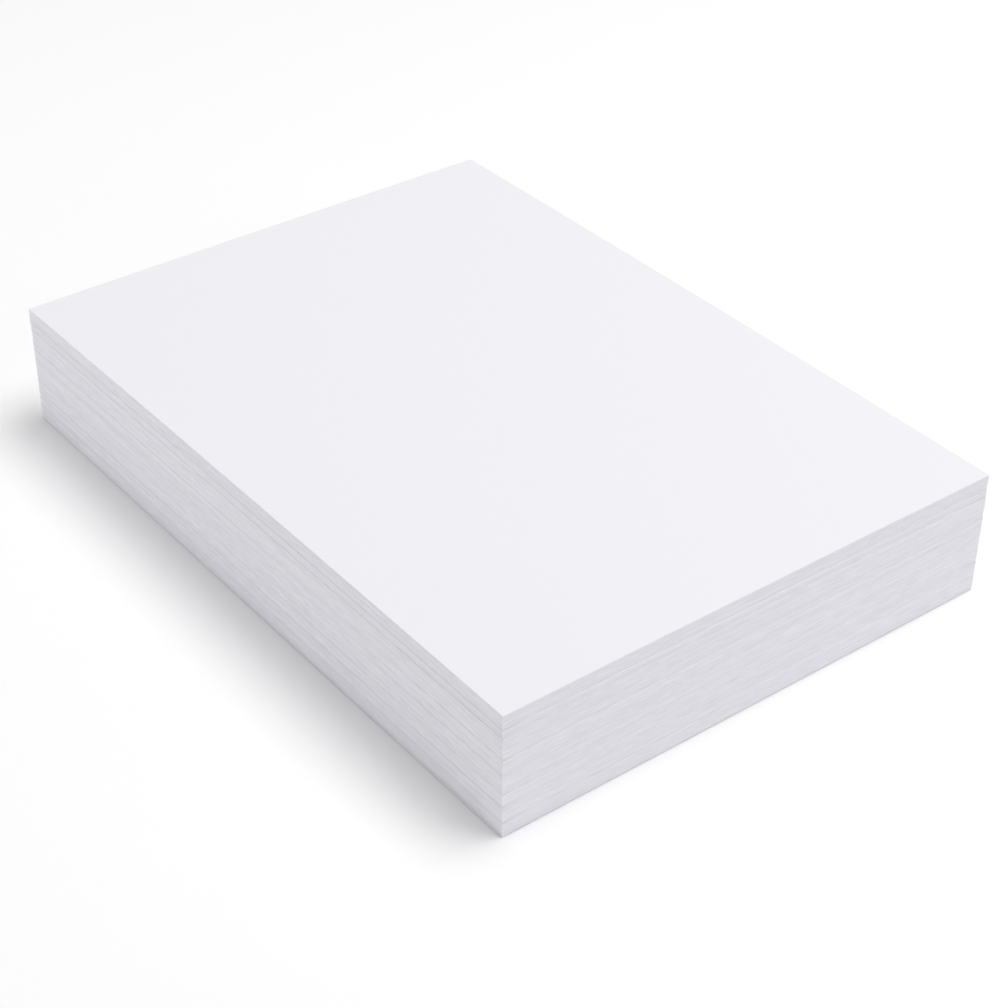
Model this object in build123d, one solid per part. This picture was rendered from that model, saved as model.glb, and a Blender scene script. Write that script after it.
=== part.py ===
from build123d import *
from dataclasses import dataclass
import os

# A ream of loose office paper lying flat on a table, out of its wrapper.
# Z = 0 is the table, X runs along the short edge and Y along the long edge.

# One A4 sheet of 80 g/m2 paper.
SHEET_WIDTH = 210.0
SHEET_LENGTH = 297.0
SHEET_THICKNESS = 0.1

SHEET_COUNT = 500


@dataclass
class Lift:
    """A handful of sheets that moved as one when the ream was knocked square."""

    sheets: int     # how many sheets it holds
    head: tuple     # how far its top sheet lies out of true along X and Y
    foot: tuple     # how far its bottom sheet lies out of true along X and Y
    turn: float     # degrees about Z, the same for all its sheets


# From the top of the ream down. A foot that stands out past the head below it on the -X side
# leaves a thin shadow line there, and a head that stands out past the foot above it on the
# -Y side leaves a bright ledge. The last lift also takes every sheet left over.
LIFTS = [
    Lift(60, (-0.16, 0.04), (-0.28, 0.22), -0.015),
    Lift(35, (-0.08, 0.00), (-0.16, 0.12), 0.015),
    Lift(86, (0.06, -0.10), (-0.04, 0.06), -0.010),
    Lift(141, (0.10, -0.14), (-0.04, 0.06), 0.015),
    Lift(53, (0.08, -0.04), (0.00, 0.10), -0.015),
    Lift(65, (0.10, -0.08), (-0.04, 0.06), 0.010),
    Lift(48, (0.06, -0.10), (-0.04, 0.04), -0.010),
    Lift(12, (-0.12, 0.02), (-0.14, 0.04), -0.020),
]


def sheet_outline(shift, turn, height):
    """The outline of one sheet that lies at a height above the table."""
    place = Pos(shift[0], shift[1], height) * Rot(0, 0, turn)
    return place * Rectangle(SHEET_WIDTH, SHEET_LENGTH)


def lift_block(lift, sheets, top):
    """A lift of some sheets as one leaning block, from its top height down."""
    bottom = top - sheets * SHEET_THICKNESS
    foot = sheet_outline(lift.foot, lift.turn, bottom)
    head = sheet_outline(lift.head, lift.turn, top)
    return loft([foot, head], ruled=True)


def lift_blocks():
    """Deal the sheets out to the lifts, from the top down, until none is left."""
    blocks = []
    remaining = SHEET_COUNT
    for lift in LIFTS:
        sheets = min(lift.sheets, remaining)
        if lift is LIFTS[-1]:
            sheets = remaining
        if sheets > 0:
            blocks.append(lift_block(lift, sheets, remaining * SHEET_THICKNESS))
            remaining -= sheets
    return blocks


def sheet_stack():
    """All the sheets as one solid, with the middle of its box over the origin."""
    blocks = lift_blocks()
    stack = blocks[0].fuse(*blocks[1:]) if len(blocks) > 1 else blocks[0]
    middle = stack.bounding_box().center()
    return Pos(-middle.X, -middle.Y, 0) * stack


os.makedirs("parts", exist_ok=True)
export_step(sheet_stack(), "parts/sheet_stack.step")
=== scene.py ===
"""A ream of loose office paper: its lifts of sheets, the loose sheet on top, and a plain studio."""

import math
import random
from typing import NamedTuple

import bpy
from bpy.props import FloatProperty, FloatVectorProperty, IntProperty, PointerProperty
from mathutils import Matrix, Vector
from mathutils.bvhtree import BVHTree
from mathutils.geometry import intersect_line_line


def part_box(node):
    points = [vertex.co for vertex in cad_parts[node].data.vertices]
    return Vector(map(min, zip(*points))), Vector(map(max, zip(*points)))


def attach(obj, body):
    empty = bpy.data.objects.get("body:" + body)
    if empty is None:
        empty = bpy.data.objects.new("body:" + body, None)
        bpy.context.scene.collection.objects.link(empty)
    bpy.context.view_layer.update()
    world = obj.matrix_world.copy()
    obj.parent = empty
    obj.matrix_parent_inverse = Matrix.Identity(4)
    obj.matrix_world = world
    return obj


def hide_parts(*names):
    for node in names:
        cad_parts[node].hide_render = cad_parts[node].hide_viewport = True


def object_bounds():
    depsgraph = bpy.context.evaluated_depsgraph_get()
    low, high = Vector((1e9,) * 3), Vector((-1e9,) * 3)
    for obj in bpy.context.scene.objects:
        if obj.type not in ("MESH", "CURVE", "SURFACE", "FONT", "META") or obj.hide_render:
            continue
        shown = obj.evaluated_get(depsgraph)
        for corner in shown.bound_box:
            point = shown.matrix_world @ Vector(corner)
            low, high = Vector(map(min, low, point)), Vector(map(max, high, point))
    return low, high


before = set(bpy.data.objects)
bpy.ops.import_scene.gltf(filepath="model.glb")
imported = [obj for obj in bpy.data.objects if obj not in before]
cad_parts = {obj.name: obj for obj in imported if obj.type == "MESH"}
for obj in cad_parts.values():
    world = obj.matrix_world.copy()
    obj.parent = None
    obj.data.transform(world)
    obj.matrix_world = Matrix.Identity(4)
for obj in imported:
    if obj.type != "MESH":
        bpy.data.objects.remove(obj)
CAD_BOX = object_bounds()

bl_info = {
    "name": "Paper Ream",
    "version": (1, 0, 0),
    "blender": (4, 5, 0),
    "location": "3D View > Sidebar > Ream",
    "description": "Dresses a packed ream of office paper, sheet by sheet",
    "category": "Object",
}

STACK = "sheet_stack"
BODY = "root"

# The material slots of every piece of paper.
FACE, EDGE = 0, 1

# Where each round lamp stands: degrees round from the right towards the back, degrees up, how far
# from the ream and how wide, in metres.
LAMPS = {
    "key_lamp": (-40, 70, 2.4, 1.4),
    "top_lamp": (10, 70, 2.4, 1.4),
    "left_lamp": (140, 12, 1.5, 1.0),
    "front_lamp": (-60, 25, 1.5, 1.0),
}

# Shares of a sheet's thickness.
LIFT_CONTACT = 0.08         # the gap between two lifts where they touch
RUN_CONTACT = 0.04          # the gap between two runs where they touch
SEAM_LOOK = 0.2             # how far above and below a seam the two lifts are measured
LIFT_LOOK = 0.02            # how far inside a lift its lowest and highest outlines are measured
TOP_SHEET_SHARE = 0.95      # the top sheet, which lies free of the one below it

OVERHANG_GAP = 0.45         # how wide a gap is, as a share of the overhang above it
RUN_REACH = (0.05, 0.5)     # how far round the stack a gap between two runs reaches each way
SIDE_REACH = 0.4            # where a side is measured, as a share of half the ream's shorter size
LEVEL_DIGITS = 5            # the heights of the lifts are told apart to a hundredth of a millimetre

# How high the rings of a sheet lie in its strip of the texture: the inner edge of its lower face,
# the foot and the head of its cut edge, and the inner edge of its upper face.
RING_HEIGHTS = (0.03, 0.1, 0.9, 0.97)

# The outward directions of a sheet's four sides, anticlockwise from the front.
FRONT, RIGHT, BACK, LEFT = Vector((0, -1, 0)), Vector((1, 0, 0)), Vector((0, 1, 0)), Vector((-1, 0, 0))
SIDES = (FRONT, RIGHT, BACK, LEFT)


class Mark(NamedTuple):
    """A noise on the paper: its features per metre, how much it changes the tone, and its grain."""

    features: tuple
    tone: float
    detail: float = 2.0
    roughness: float = 0.5


# On a sheet's face, with the features along x, y and z.
CLOUD = Mark((180, 180, 180), tone=0.012, detail=3.0)
FELT = Mark((2600, 1500, 2600), tone=0.010, detail=4.0, roughness=0.65)
FELT_ROUGHNESS = 0.12
FELT_DEPTH = 0.00002

# On the cut edges, with the features along the edge, along the ream and up the stack.
STREAK = Mark((9, 3, 2400), tone=0.24, detail=3.0)
SCRATCH = Mark((110, 20, 2700), tone=0.32)
BAND = Mark((5, 2, 420), tone=0.07)
NICK = Mark((900, 40, 9000), tone=0.06, roughness=0.6)
LONG_SIDE_PACE = 1.3        # how much faster the place along the edge runs on a long side
SHEET_TONE = 0.06           # how much the tone changes from one sheet to the next
CORNER_HIGHLIGHT = 0.07          # painted highlight: how much lighter the vertical corners are painted
CORNER_REACH = (0.0001, 0.0009)
SEAM_TAPER = (0.0006, 0.0030)   # where the painted shade at the seams fades out, from a long side inwards
SEAM_BAND = 2.0             # how much the bands vary the painted shade at the seams
EDGE_ROUGHER = 0.08         # how much rougher a cut edge is than a face
NICK_ROUGHNESS = 0.15
STREAK_HEIGHT = 0.6         # how high the streaks stand against the nicks
EDGE_DEPTH = 0.00003
SPECULAR = 0.2


# --------------------------------------------------------------------------------------------
# Settings


class ReamPaper(bpy.types.PropertyGroup):
    """The paper: its sheets, how they lie, and its colours."""

    sheet_thickness: FloatProperty(
        name="Sheet thickness", description="Thickness of one sheet",
        default=0.0001, subtype="DISTANCE", unit="LENGTH", precision=5,
    )
    edge_step: FloatProperty(
        name="Edge step", description="Distance between the points along a sheet's edge",
        default=0.010, subtype="DISTANCE", unit="LENGTH",
    )
    sheet_slip: FloatProperty(
        name="Sheet slip", description="How far single sheets lie out of line with their run",
        default=0.000012, subtype="DISTANCE", unit="LENGTH", precision=6,
    )
    run_slip: FloatProperty(
        name="Run slip", description="How far runs of sheets lie out of line with their lift",
        default=0.000018, subtype="DISTANCE", unit="LENGTH", precision=6,
    )
    run_turn: FloatProperty(
        name="Run turn", description="How far runs of sheets are turned against their lift",
        default=math.radians(0.007), subtype="ANGLE", unit="ROTATION", precision=5,
    )
    shortest_run: IntProperty(
        name="Shortest run", description="Fewest sheets that slipped together", default=3, min=1,
    )
    longest_run: IntProperty(
        name="Longest run", description="Most sheets that slipped together", default=14, min=1,
    )
    parting: FloatProperty(
        name="Parting", description="Widest gap between two runs of sheets",
        default=0.000016, subtype="DISTANCE", unit="LENGTH", precision=6,
    )
    lift_parting: FloatProperty(
        name="Lift parting", description="Widest gap under a lift that overhangs the one below",
        default=0.00015, subtype="DISTANCE", unit="LENGTH", precision=6,
    )
    long_side_gap: FloatProperty(
        name="Long side gap", description="Gap between two lifts all along their long sides",
        default=0.00010, subtype="DISTANCE", unit="LENGTH", precision=6,
    )
    # Painted shade: these two settings paint the long sides darker along each seam between two lifts.
    seam_shade: FloatProperty(
        name="Seam shade", description="How much darker the long sides are at a seam between two lifts",
        default=0.068, subtype="FACTOR", min=0, max=1,
    )
    seam_width: FloatProperty(
        name="Seam width", description="How far the shade reaches above and below a seam",
        default=0.0006, subtype="DISTANCE", unit="LENGTH", precision=5,
    )
    long_side_steps: FloatProperty(
        name="Long side steps", description="Share of the lifts' shifts that shows on the long sides",
        default=0.1, subtype="FACTOR", min=0, max=1,
    )
    foot_inset: FloatProperty(
        name="Foot inset", description="How far the lowest sheets lie back from the others",
        default=0.0005, subtype="DISTANCE", unit="LENGTH", precision=5,
    )
    foot_sheets: IntProperty(
        name="Foot sheets", description="How many of the lowest sheets lie back", default=3, min=0,
    )
    parting_depth: FloatProperty(
        name="Parting depth", description="How far a gap is open inwards from the edge",
        default=0.0008, subtype="DISTANCE", unit="LENGTH", precision=5,
    )
    end_droop: FloatProperty(
        name="End droop", description="How far the short ends of the top sheet sink below its middle",
        default=0.0005, subtype="DISTANCE", unit="LENGTH", precision=5,
    )
    side_droop: FloatProperty(
        name="Side droop", description="How far the long sides of the top sheet sink below its middle",
        default=0.00005, subtype="DISTANCE", unit="LENGTH", precision=5,
    )
    corner_droop: FloatProperty(
        name="Corner droop", description="How much further the corners of the top sheet sink",
        default=0.00015, subtype="DISTANCE", unit="LENGTH", precision=5,
    )
    face_colour: FloatVectorProperty(
        name="Face colour", description="Colour of a sheet's face",
        default=(0.862, 0.852, 0.893), subtype="COLOR", size=3, min=0, max=1,
    )
    # Painted light: the cut edges are painted lighter than the faces to make up for the light that reaches
    # the sides.
    edge_colour: FloatVectorProperty(
        name="Edge colour", description="Colour of the cut edges of the sheets",
        default=(0.905, 0.894, 0.945), subtype="COLOR", size=3, min=0, max=1,
    )
    roughness: FloatProperty(
        name="Roughness", description="Roughness of uncoated paper", default=0.75, min=0, max=1,
    )


class ReamStage(bpy.types.PropertyGroup):
    """The floor, the light and the camera."""

    floor_size: FloatProperty(
        name="Floor size", description="Length of each side of the floor",
        default=60.0, subtype="DISTANCE", unit="LENGTH",
    )
    floor_clear_from: FloatProperty(
        name="Floor clear from", description="Where the floor begins to clear, from the middle of the ream",
        default=0.45, subtype="DISTANCE", unit="LENGTH",
    )
    floor_clear_at: FloatProperty(
        name="Floor clear at", description="Where the floor is wholly clear",
        default=1.1, subtype="DISTANCE", unit="LENGTH",
    )
    floor_bounce: FloatProperty(
        name="Floor bounce", description="Share of the light that the floor sends back to the ream",
        default=0.90, subtype="FACTOR", min=0, max=1,
    )
    sky: FloatProperty(
        name="Sky", description="Brightness of the light from all round, where 1 is white",
        default=0.440, min=0,
    )
    key_lamp: FloatProperty(
        name="Key lamp", description="Brightness that this lamp alone gives a white card square to it",
        default=0.404, min=0,
    )
    top_lamp: FloatProperty(
        name="Top lamp", description="Brightness that this lamp alone gives a white card square to it",
        default=0.172, min=0,
    )
    left_lamp: FloatProperty(
        name="Left lamp", description="Brightness that this lamp alone gives a white card square to it",
        default=0.200, min=0,
    )
    front_lamp: FloatProperty(
        name="Front lamp", description="Brightness that this lamp alone gives a white card square to it",
        default=0.100, min=0,
    )
    azimuth: FloatProperty(
        name="Azimuth", description="Where the camera stands, from the front towards the right",
        default=math.radians(-37.76), subtype="ANGLE", unit="ROTATION",
    )
    elevation: FloatProperty(
        name="Elevation", description="Height of the camera above the horizon",
        default=math.radians(35.35), subtype="ANGLE", unit="ROTATION",
    )
    roll: FloatProperty(
        name="Roll", description="Turn of the camera about its own axis",
        default=math.radians(0.48), subtype="ANGLE", unit="ROTATION",
    )
    distance: FloatProperty(
        name="Distance", description="From the camera to the point that it looks at",
        default=0.8052, subtype="DISTANCE", unit="LENGTH",
    )
    aim: FloatVectorProperty(
        name="Aim", description="The point that the camera looks at, from the middle of the ream",
        default=(-0.0173, -0.0350, 0.0), subtype="TRANSLATION", size=3,
    )
    lens: FloatProperty(
        name="Lens", description="Focal length on a sensor 36 mm wide, in millimetres", default=81.17,
    )


# --------------------------------------------------------------------------------------------
# Shader recipes


class Signal:
    """A shader socket in a Python expression: each operator adds one Math node to its recipe."""

    def __init__(self, recipe, socket):
        self.recipe = recipe
        self.socket = socket

    def out(self, name):
        """Another output of the same node."""
        return Signal(self.recipe, self.socket.node.outputs[name])

    def maths(self, operation, *values):
        sockets = dict(enumerate(values))
        return self.recipe.node("ShaderNodeMath", {"operation": operation}, sockets)

    def __add__(self, other):
        return self.maths("ADD", self, other)

    def __sub__(self, other):
        return self.maths("SUBTRACT", self, other)

    def __rsub__(self, other):
        return self.maths("SUBTRACT", other, self)

    def __mul__(self, other):
        return self.maths("MULTIPLY", self, other)

    def __truediv__(self, other):
        return self.maths("DIVIDE", self, other)

    def __rtruediv__(self, other):
        return self.maths("DIVIDE", other, self)

    def __abs__(self):
        return self.maths("ABSOLUTE", self)

    __radd__ = __add__
    __rmul__ = __mul__

    def floor(self):
        return self.maths("FLOOR", self)

    def most(self, other):
        """The larger of this and another value."""
        return self.maths("MAXIMUM", self, other)

    def ramp(self, low, high):
        """A smooth climb from 0 where this is low to 1 where it is high."""
        settings = {"interpolation_type": "SMOOTHSTEP"}
        sockets = {"Value": self, "From Min": low, "From Max": high}
        return self.recipe.node("ShaderNodeMapRange", settings, sockets)


class Recipe:
    """The node tree of a material or a world, and the one way to add a node to it."""

    def __init__(self, owner):
        owner.use_nodes = True
        self.tree = owner.node_tree
        self.tree.nodes.clear()

    def node(self, kind, settings=None, sockets=None):
        """Add a node, with its settings first and then the values or links of its sockets."""
        node = self.tree.nodes.new(kind)
        for name, value in (settings or {}).items():
            setattr(node, name, value)
        for name, value in (sockets or {}).items():
            if isinstance(value, Signal):
                self.tree.links.new(value.socket, node.inputs[name])
            else:
                node.inputs[name].default_value = value
        if not node.outputs:
            return None
        return Signal(self, next(output for output in node.outputs if output.enabled))

    def place(self):
        """The place on the ream, in metres, as the Signals x, y and z."""
        place = self.node("ShaderNodeTexCoord").out("Object")
        split = self.node("ShaderNodeSeparateXYZ", sockets={"Vector": place})
        return split.out("X"), split.out("Y"), split.out("Z")

    def mark(self, mark, place):
        """The smooth noise of a mark, about 0."""
        x, y, z = (value * count for value, count in zip(place, mark.features))
        vector = self.node("ShaderNodeCombineXYZ", sockets={"X": x, "Y": y, "Z": z})
        grain = {"Detail": mark.detail, "Roughness": mark.roughness}
        return self.node("ShaderNodeTexNoise", sockets={"Vector": vector, "Scale": 1.0, **grain}) - 0.5

    def mix(self, share, first, second):
        """A colour between two others."""
        sockets = {"Factor": share, "A": first, "B": second}
        return self.colour_mix({"data_type": "RGBA", "blend_type": "MIX"}, sockets)

    def shade(self, colour, light):
        """A colour made lighter or darker by a value about 1, and never above full white."""
        tone = self.node("ShaderNodeCombineColor", sockets={"Red": light, "Green": light, "Blue": light})
        sockets = {"Factor": 1.0, "A": colour, "B": tone}
        settings = {"data_type": "RGBA", "blend_type": "MULTIPLY", "clamp_result": True}
        return self.colour_mix(settings, sockets)

    def colour_mix(self, settings, sockets):
        """A Mix node on colours: its colour sockets share their names with those of other types."""
        places = {"Factor": 0, "A": 6, "B": 7}
        sockets = {places[name]: rgba(value) for name, value in sockets.items()}
        return self.node("ShaderNodeMix", settings, sockets)

    def bump(self, height, depth):
        """A normal from a height about 0, where a height of 1 is depth metres."""
        sockets = {"Strength": 1.0, "Distance": depth, "Height": height}
        return self.node("ShaderNodeBump", sockets=sockets)

    def finish(self, colour, roughness, normal):
        """The paper's own shader, to the material's output."""
        sockets = {
            "Base Color": rgba(colour),
            "Roughness": roughness,
            "Normal": normal,
            "Specular IOR Level": SPECULAR,
        }
        shader = self.node("ShaderNodeBsdfPrincipled", sockets=sockets)
        self.node("ShaderNodeOutputMaterial", sockets={"Surface": shader})


def rgba(value):
    """A colour with its alpha, and anything else as it is."""
    if isinstance(value, (Signal, float, int)):
        return value
    return (*value, 1.0)[:4]


def paper_face(paper):
    """The face of an uncoated sheet: a flat bright white with a faint felt of fibres."""
    material = bpy.data.materials.new("paper_face")
    recipe = Recipe(material)
    place = recipe.place()
    cloud = recipe.mark(CLOUD, place)
    felt = recipe.mark(FELT, place)
    colour = recipe.shade(paper.face_colour, 1 + CLOUD.tone * cloud + FELT.tone * felt)
    roughness = paper.roughness + FELT_ROUGHNESS * felt
    recipe.finish(colour, roughness, recipe.bump(felt, FELT_DEPTH))
    return material


def paper_edge(paper, seams):
    """The cut edges of a stack of sheets: fine streaks, a painted highlight at the corners, and painted
    shade at the seams between lifts.
    """
    material = bpy.data.materials.new("paper_edge")
    recipe = Recipe(material)
    x, y, z = recipe.place()
    place = (x + LONG_SIDE_PACE * y, y, z)
    sheet = (z / paper.sheet_thickness).floor()
    sheet_tone = recipe.node("ShaderNodeTexWhiteNoise", {"noise_dimensions": "1D"}, {"W": sheet}) - 0.5
    streak, scratch, band, nick = (recipe.mark(mark, place) for mark in (STREAK, SCRATCH, BAND, NICK))
    corner_of_box = CAD_BOX[1]
    from_long_side = corner_of_box.x - abs(x)
    from_corner = from_long_side.most(corner_of_box.y - abs(y))
    # Painted highlight: the cut edges are painted lighter along the vertical corners of the stack.
    corner = 1 - from_corner.ramp(*CORNER_REACH)
    tone = 1 + SHEET_TONE * sheet_tone + STREAK.tone * streak + SCRATCH.tone * scratch
    tone = tone + BAND.tone * band + NICK.tone * nick + CORNER_HIGHLIGHT * corner
    # Painted shade: the long sides are painted darker along each seam between two lifts.
    on_long_side = 1 - from_long_side.ramp(*SEAM_TAPER)
    at_seam = sum(1 - abs(z - seam).ramp(0, paper.seam_width) for seam in seams)
    tone = tone - paper.seam_shade * at_seam * on_long_side * (1 + SEAM_BAND * band)
    colour = recipe.shade(paper.edge_colour, tone)
    roughness = paper.roughness + EDGE_ROUGHER + NICK_ROUGHNESS * nick
    height = STREAK_HEIGHT * streak + nick
    recipe.finish(colour, roughness, recipe.bump(height, EDGE_DEPTH))
    return material


# --------------------------------------------------------------------------------------------
# The stack's shape


class Stack:
    """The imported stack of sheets, measured from its CAD node."""

    def __init__(self, node):
        mesh = node.data
        self.points = [vertex.co.copy() for vertex in mesh.vertices]
        self.tree = BVHTree.FromPolygons(self.points, [tuple(face.vertices) for face in mesh.polygons])
        self.low, self.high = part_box(node.name)

    def levels(self):
        """The heights at which one lift ends and the next begins, from the table up."""
        return sorted({round(point.z, LEVEL_DIGITS) for point in self.points})

    def outline(self, height):
        """The four corners of the stack at a height, anticlockwise from the front left one."""
        lines = [self.side_line(outward, height) for outward in SIDES]
        corners = []
        for before, after in zip([lines[-1], *lines], lines):
            corners.append(intersect_line_line(*before, *after)[0])
        return corners

    def side_line(self, outward, height):
        """Two points on one side of the stack at a height."""
        far = self.high.length
        along = Vector((-outward.y, outward.x, 0)) * SIDE_REACH * min(self.high.x, self.high.y)
        line = []
        for start in (-along, along):
            start = start + outward * far + Vector((0, 0, height))
            line.append(self.tree.ray_cast(start, -outward)[0])
        return line

    def droop(self, point, paper):
        """A point of a level sheet, moved down as the cut edges of the upper sheets are pressed."""
        across, along = (point.x / self.high.x) ** 2, (point.y / self.high.y) ** 2
        drop = paper.side_droop * across + paper.end_droop * along + paper.corner_droop * across * along
        return point - Vector((0, 0, drop * (point.z / self.high.z) ** 3))

    def inside(self, point):
        """The point, or the nearest one in the stack's box."""
        pairs = zip(point, self.low, self.high)
        return Vector([min(max(value, low), high) for value, low, high in pairs])


class Skin:
    """A closed skin of rings of points, from the bottom one up, with a flat cap at each end."""

    # Each side of the ring has a strip of the texture, and the caps share what is left.
    STRIP, STRIP_STEP, CAP_LOW, CAP_HIGH, CAP_WIDTH, UPPER_CAP = 0.22, 0.235, 0.95, 0.99, 0.45, 0.5

    def __init__(self, steps):
        self.steps = steps              # for each side, how many steps the ring has along it
        self.rings = []
        self.bands = []                 # each ring's height in the texture and its finish

    def ring(self, points, texture_height, finish):
        """Put a ring on top. The finish is that of the band from the ring below."""
        self.rings.append(points)
        self.bands.append((texture_height, finish))

    def make(self, name, materials):
        """The skin as a piece."""
        count = len(self.rings[0])
        points = [point for ring in self.rings for point in ring]
        faces = [tuple(reversed(range(count)))]
        finishes = [FACE]
        places = [self.cap_place(point, 0) for point in reversed(self.rings[0])]
        top = self.bands[-1][0]
        for number in range(1, len(self.rings)):
            below, above = (number - 1) * count, number * count
            low, high = (self.bands[number - 1][0] / top, self.bands[number][0] / top)
            for step, (side, start, end) in enumerate(self.spans()):
                after = (step + 1) % count
                faces.append((below + step, below + after, above + after, above + step))
                finishes.append(self.bands[number][1])
                foot, head = (side * self.STRIP_STEP + self.STRIP * share for share in (low, high))
                places += [(start, foot), (end, foot), (end, head), (start, head)]
        last = len(points) - count
        faces.append(tuple(range(last, last + count)))
        finishes.append(FACE)
        places += [self.cap_place(point, self.UPPER_CAP) for point in self.rings[-1]]
        return make_piece(name, points, faces, finishes, places, materials)

    def spans(self):
        """The side, start and end of each step of a ring, with the ends as shares of the side."""
        for side, count in enumerate(self.steps):
            for step in range(count):
                yield side, step / count, (step + 1) / count

    def cap_place(self, point, start):
        """Where a point of a cap lies in the texture."""
        reach = max(abs(value) for corner in self.rings[0] for value in corner.xy)
        share = (Vector(point.xy) / reach + Vector((1, 1))) / 2
        return (start + self.CAP_WIDTH * share.x, self.CAP_LOW + (self.CAP_HIGH - self.CAP_LOW) * share.y)


def make_piece(name, points, faces, finishes, places, materials):
    """An object from its points, faces, material slots and texture places, riding on the ream."""
    mesh = bpy.data.meshes.new(name)
    mesh.from_pydata(points, [], faces)
    for material in materials:
        mesh.materials.append(material)
    mesh.polygons.foreach_set("material_index", finishes)
    layer = mesh.uv_layers.new(name="OFBake")
    layer.uv.foreach_set("vector", [value for place in places for value in place])
    mesh.validate()
    piece = bpy.data.objects.new(name, mesh)
    bpy.context.scene.collection.objects.link(piece)
    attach(piece, BODY)
    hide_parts(STACK)
    return piece


def ring_points(corners, steps):
    """Points along the four edges of a sheet, from its corners."""
    points = []
    for side, count in enumerate(steps):
        start, end = corners[side], corners[(side + 1) % 4]
        points += [start.lerp(end, step / count) for step in range(count)]
    return points


def edge_steps(stack, paper):
    """How many steps each of the four sides of a sheet is drawn with."""
    short = round((stack.high.x - stack.low.x) / paper.edge_step)
    long = round((stack.high.y - stack.low.y) / paper.edge_step)
    return short, long, short, long


def moved(corners, slip, turn):
    """The corners of a sheet that slipped and turned a little about the middle of the stack."""
    place = Matrix.Translation((*slip, 0)) @ Matrix.Rotation(turn, 4, "Z")
    return [place @ corner for corner in corners]


def deal_runs(count, paper, chance):
    """Split a lift into runs of sheets that slipped and turned together."""
    runs = []
    while count > 0:
        size = min(count, chance.randint(paper.shortest_run, paper.longest_run))
        slip = Vector((chance.gauss(0, paper.run_slip), chance.gauss(0, paper.run_slip)))
        runs.append((size, slip, chance.gauss(0, paper.run_turn)))
        count -= size
    return runs


def run_parting(steps, paper, chance):
    """How wide the gap between two runs is at each point of the ring: it opens and closes."""
    count = sum(steps)
    middle = chance.uniform(0, count)
    reach = chance.uniform(*RUN_REACH) * count
    widest = paper.parting * chance.uniform(0.0, 1.0)
    widths = []
    for step in range(count):
        away = abs((step - middle + count / 2) % count - count / 2)
        share = max(0.0, 1 - (away / reach) ** 2) ** 2
        widths.append(max(widest * share, RUN_CONTACT * paper.sheet_thickness))
    return widths


def lift_parting(stack, paper, steps, height):
    """How wide the gap between two lifts is at each point of the ring.

    It opens where the upper lift overhangs the lower one, and a little all along the long sides.
    """
    feather = SEAM_LOOK * paper.sheet_thickness
    above = ring_points(stack.outline(height + feather), steps)
    below = ring_points(stack.outline(height - feather), steps)
    meeting = []
    for before, side, count in zip((SIDES[-1], *SIDES), SIDES, steps):
        meeting += [(before, side)] + [(side,)] * (count - 1)
    widest, closed = paper.lift_parting, LIFT_CONTACT * paper.sheet_thickness
    widths = []
    for upper, lower, sides in zip(above, below, meeting):
        overhang = max((upper - lower).dot(side) for side in sides)
        least = paper.long_side_gap if LEFT in sides or RIGHT in sides else closed
        widths.append(min(max(OVERHANG_GAP * overhang, least), widest))
    return widths


def pressed_square(corners, stack, paper):
    """The corners of a lift whose long sides were pressed flush, but not its short ones."""
    square = stack.outline(stack.high.z / 2)
    share = Vector((paper.long_side_steps, 1, 1))
    return [middle + (corner - middle) * share for middle, corner in zip(square, corners)]


def lift_skin(stack, paper, low, high, gaps, chance):
    """The skin of one lift, sheet by sheet: a ledge at each sheet and a gap at each run."""
    feather = LIFT_LOOK * paper.sheet_thickness
    count = round((high - low) / paper.sheet_thickness)
    foot = pressed_square(stack.outline(low + feather), stack, paper)
    head = pressed_square(stack.outline(high - feather), stack, paper)
    steps = edge_steps(stack, paper)
    skin = Skin(steps)
    below, end = gaps
    sheet = 0
    runs = deal_runs(count, paper, chance)
    for number, (size, run_slip, turn) in enumerate(runs):
        above = end if number == len(runs) - 1 else run_parting(steps, paper, chance)
        for place in range(size):
            slip = run_slip + Vector((chance.gauss(0, paper.sheet_slip), chance.gauss(0, paper.sheet_slip)))
            share = (sheet + 0.5) / count
            corners = moved([a.lerp(b, share) for a, b in zip(foot, head)], slip, turn)
            bottom, top = low + (high - low) * sheet / count, low + (high - low) * (sheet + 1) / count
            if bottom < (paper.foot_sheets - 0.5) * paper.sheet_thickness:
                corners = drawn_in(corners, paper.foot_inset)
            under = below if place == 0 else None
            over = above if place == size - 1 else None
            flat = ring_points(corners, steps)
            add_sheet(skin, stack, paper, flat, (bottom, top), (under, over), sheet)
            sheet += 1
        below = above
    return skin


def drawn_in(corners, inset):
    """The corners of a sheet, each moved inwards along both of its sides."""
    return [corner - Vector((math.copysign(inset, corner.x), math.copysign(inset, corner.y), 0))
            for corner in corners]


def add_sheet(skin, stack, paper, flat, heights, gaps, sheet):
    """Put one sheet on a skin: its cut edge, and where a gap opens the faces that show in it."""
    (bottom, top), (under, over) = heights, gaps
    at_bottom = level(flat, bottom, under, 1)
    at_top = level(flat, top, over, -1)
    inner_foot, foot, head, inner_head = (sheet + height for height in RING_HEIGHTS)
    if under:
        skin.ring(place_ring(stack, paper, at_bottom, paper.parting_depth), inner_foot, FACE)
    skin.ring(place_ring(stack, paper, at_bottom, 0), foot, FACE)
    skin.ring(place_ring(stack, paper, at_top, 0), head, EDGE)
    if over:
        skin.ring(place_ring(stack, paper, at_top, paper.parting_depth), inner_head, FACE)


def level(flat, height, gap, way):
    """The points of an edge at a height, moved up or down by half of the gap there."""
    gap = gap or [0] * len(flat)
    return [Vector((p.x, p.y, height + way * width / 2)) for p, width in zip(flat, gap)]


def place_ring(stack, paper, points, inset):
    """The points of a ring inside the stack's box, with its droop, moved inwards by an inset."""
    ring = []
    for point in points:
        point = stack.droop(stack.inside(point), paper)
        reach = Vector((stack.high.x, stack.high.y))
        ring.append(Vector((point.x * (1 - inset / reach.x), point.y * (1 - inset / reach.y), point.z)))
    return ring


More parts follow.
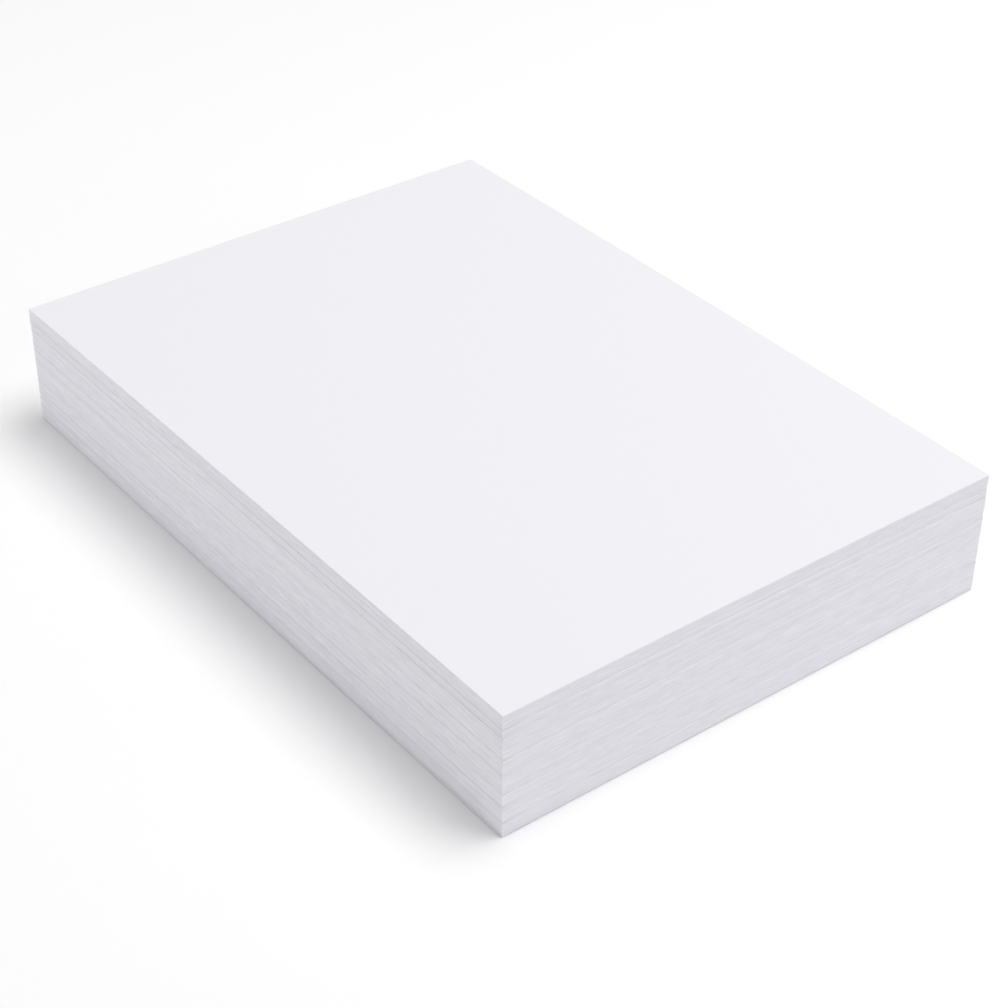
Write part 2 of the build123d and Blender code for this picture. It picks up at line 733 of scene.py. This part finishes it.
def shared_materials(paper, stack):
    """The two finishes of the paper, made once."""
    made = bpy.data.materials
    seams = stack.levels()[2:-1]        # the lowest seam lies in the shade at the foot
    face = made.get("paper_face") or paper_face(paper)
    edge = made.get("paper_edge") or paper_edge(paper, seams)
    return [face, edge]


# --------------------------------------------------------------------------------------------
# Operators


class REAM_OT_lifts(bpy.types.Operator):
    """Build the lifts of sheets, each as one closed piece"""

    bl_idname = "ream.lifts"
    bl_label = "Lifts of sheets"

    def execute(self, context):
        paper = context.scene.ream_paper
        stack = Stack(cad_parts[STACK])
        steps = edge_steps(stack, paper)
        levels = stack.levels()
        closed = [LIFT_CONTACT * paper.sheet_thickness] * sum(steps)
        partings = [lift_parting(stack, paper, steps, height) for height in levels[1:-1]]
        gaps = [closed, *partings, closed]
        levels[-1] -= paper.sheet_thickness
        materials = shared_materials(paper, stack)
        for place in range(len(levels) - 1):
            number = len(levels) - 1 - place
            low, high = levels[place:place + 2]
            skin = lift_skin(stack, paper, low, high, gaps[place:place + 2], random.Random(number))
            skin.make(f"lift_{number}", materials)
        return {"FINISHED"}


class REAM_OT_top_sheet(bpy.types.Operator):
    """Build the loose sheet on top"""

    bl_idname = "ream.top_sheet"
    bl_label = "Top sheet"

    def execute(self, context):
        paper = context.scene.ream_paper
        stack = Stack(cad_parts[STACK])
        sheet = top_sheet(stack, paper)
        make_piece("top_sheet", *sheet, shared_materials(paper, stack))
        return {"FINISHED"}


def top_sheet(stack, paper):
    """The points, faces, finishes and texture places of the top sheet, as a grid on both faces."""
    high = stack.high.z
    low = high - TOP_SHEET_SHARE * paper.sheet_thickness
    corners = pressed_square(stack.outline(high - LIFT_LOOK * paper.sheet_thickness), stack, paper)
    wide, long = edge_steps(stack, paper)[:2]
    points, faces, finishes, places = [], [], [], []
    for height in (low, high):
        for row in range(long + 1):
            left = corners[0].lerp(corners[3], row / long)
            right = corners[1].lerp(corners[2], row / long)
            for column in range(wide + 1):
                point = left.lerp(right, column / wide)
                point.z = height
                points.append(stack.droop(stack.inside(point), paper))
    layer = (wide + 1) * (long + 1)

    def at(column, row, upper):
        return row * (wide + 1) + column + upper * layer

    def place(column, row, upper):
        return (0.01 + 0.98 * row / long, 0.03 + (0.66 if upper else 0.28) * column / wide + 0.3 * upper)

    def quad(cells, finish, spots):
        faces.append(tuple(at(*cell) for cell in cells))
        finishes.append(finish)
        places.extend(spots)

    for row in range(long):
        for column in range(wide):
            cell = [(column, row), (column + 1, row), (column + 1, row + 1), (column, row + 1)]
            above = [(*spot, 1) for spot in cell]
            below = [(*spot, 0) for spot in reversed(cell)]
            quad(above, FACE, [place(*spot) for spot in above])
            quad(below, FACE, [place(*spot) for spot in below])
    border = [(column, 0) for column in range(wide)] + [(wide, row) for row in range(long)]
    border += [(column, long) for column in range(wide, 0, -1)] + [(0, row) for row in range(long, 0, -1)]
    for number, start in enumerate(border):
        end = border[(number + 1) % len(border)]
        share, next_share = number / len(border), (number + 1) / len(border)
        spots = [(share, 0.005), (next_share, 0.005), (next_share, 0.02), (share, 0.02)]
        quad([(*start, 0), (*end, 0), (*end, 1), (*start, 1)], EDGE, spots)
    return points, faces, finishes, places


class REAM_OT_stage(bpy.types.Operator):
    """Build the floor, the light and the camera"""

    bl_idname = "ream.stage"
    bl_label = "Stage"

    def execute(self, context):
        stage = context.scene.ream_stage
        make_floor(stage)
        make_sky(context.scene, stage)
        for name in LAMPS:
            make_lamp(name, getattr(stage, name))
        make_camera(context.scene, stage)
        context.scene.view_settings.view_transform = "Standard"
        return {"FINISHED"}


def seen_directly(recipe):
    """1 for what the camera sees, directly or in a mirror, and 0 for what only sends light."""
    path = recipe.node("ShaderNodeLightPath")
    seen = path.out("Is Camera Ray").most(path.out("Is Glossy Ray"))
    return seen.most(path.out("Is Transmission Ray"))


def make_floor(stage):
    """A white floor that keeps the shadow of the ream, and clears into the sky further out."""
    half = stage.floor_size / 2
    mesh = bpy.data.meshes.new("floor")
    corners = [(-half, -half, 0), (half, -half, 0), (half, half, 0), (-half, half, 0)]
    mesh.from_pydata(corners, [], [(0, 1, 2, 3)])
    material = bpy.data.materials.new("floor_white")
    recipe = Recipe(material)
    bounce = (stage.floor_bounce,) * 3
    colour = recipe.mix(seen_directly(recipe), bounce, (1.0, 1.0, 1.0))
    paint = recipe.node("ShaderNodeBsdfDiffuse", sockets={"Color": colour})
    clear = recipe.node("ShaderNodeBsdfTransparent")
    x, y, _ = recipe.place()
    fade = (x * x + y * y).ramp(stage.floor_clear_from ** 2, stage.floor_clear_at ** 2)
    shader = recipe.node("ShaderNodeMixShader", sockets={0: fade, 1: paint, 2: clear})
    recipe.node("ShaderNodeOutputMaterial", sockets={"Surface": shader})
    mesh.materials.append(material)
    floor = bpy.data.objects.new("floor", mesh)
    bpy.context.scene.collection.objects.link(floor)


def make_sky(scene, stage):
    """Even light from all round, which looks white where it is seen."""
    scene.world = bpy.data.worlds.new("sky")
    recipe = Recipe(scene.world)
    colour = recipe.mix(seen_directly(recipe), (stage.sky,) * 3, (1.0, 1.0, 1.0))
    shader = recipe.node("ShaderNodeBackground", sockets={"Color": colour, "Strength": 1.0})
    recipe.node("ShaderNodeOutputWorld", sockets={"Surface": shader})


def make_lamp(name, brightness):
    """A wide soft lamp that points at the middle of the ream."""
    azimuth, elevation, distance, width = LAMPS[name]
    low, high = CAD_BOX
    turn = Matrix.Rotation(math.radians(azimuth), 4, "Z") @ Matrix.Rotation(math.radians(-elevation), 4, "Y")
    light = bpy.data.lights.new(name, "AREA")
    light.shape = "DISK"
    light.size = width
    light.energy = brightness * (math.pi * distance) ** 2
    lamp = bpy.data.objects.new(name, light)
    lamp.location = (low + high) / 2 + turn @ Vector((distance, 0, 0))
    lamp.rotation_euler = (turn @ Vector((1, 0, 0))).to_track_quat("Z", "Y").to_euler()
    bpy.context.scene.collection.objects.link(lamp)


def make_camera(scene, stage):
    """The camera, looking down on the front left corner."""
    low, high = CAD_BOX
    aim = (low + high) / 2 + Vector(stage.aim)
    turn = Matrix.Rotation(stage.azimuth, 3, "Z")
    tilt = Matrix.Rotation(math.pi / 2 - stage.elevation, 3, "X")
    frame_of_view = turn @ tilt
    lens = bpy.data.cameras.new("camera")
    lens.lens = stage.lens
    camera = bpy.data.objects.new("camera", lens)
    camera.location = aim + frame_of_view @ Vector((0, 0, stage.distance))
    camera.rotation_euler = (frame_of_view @ Matrix.Rotation(stage.roll, 3, "Z")).to_euler()
    scene.collection.objects.link(camera)
    scene.camera = camera


# --------------------------------------------------------------------------------------------
# Panel and registration


class REAM_PT_sidebar(bpy.types.Panel):
    """The settings of the ream and the buttons that build it"""

    bl_idname = "REAM_PT_sidebar"
    bl_label = "Ream of paper"
    bl_space_type = "VIEW_3D"
    bl_region_type = "UI"
    bl_category = "Ream"

    def draw(self, context):
        for group in (context.scene.ream_paper, context.scene.ream_stage):
            column = self.layout.column(align=True)
            for name in group.__annotations__:
                column.prop(group, name)
        for operator in OPERATORS:
            self.layout.operator(operator.bl_idname)


OPERATORS = (REAM_OT_lifts, REAM_OT_top_sheet, REAM_OT_stage)
CLASSES = (ReamPaper, ReamStage, *OPERATORS, REAM_PT_sidebar)


def register():
    for cls in CLASSES:
        bpy.utils.register_class(cls)
    bpy.types.Scene.ream_paper = PointerProperty(type=ReamPaper)
    bpy.types.Scene.ream_stage = PointerProperty(type=ReamStage)


def unregister():
    del bpy.types.Scene.ream_stage
    del bpy.types.Scene.ream_paper
    for cls in reversed(CLASSES):
        bpy.utils.unregister_class(cls)


def main():
    """Build every piece and the stage."""
    register()
    bpy.ops.ream.lifts()
    bpy.ops.ream.top_sheet()
    bpy.ops.ream.stage()


if __name__ == "__main__":
    main()
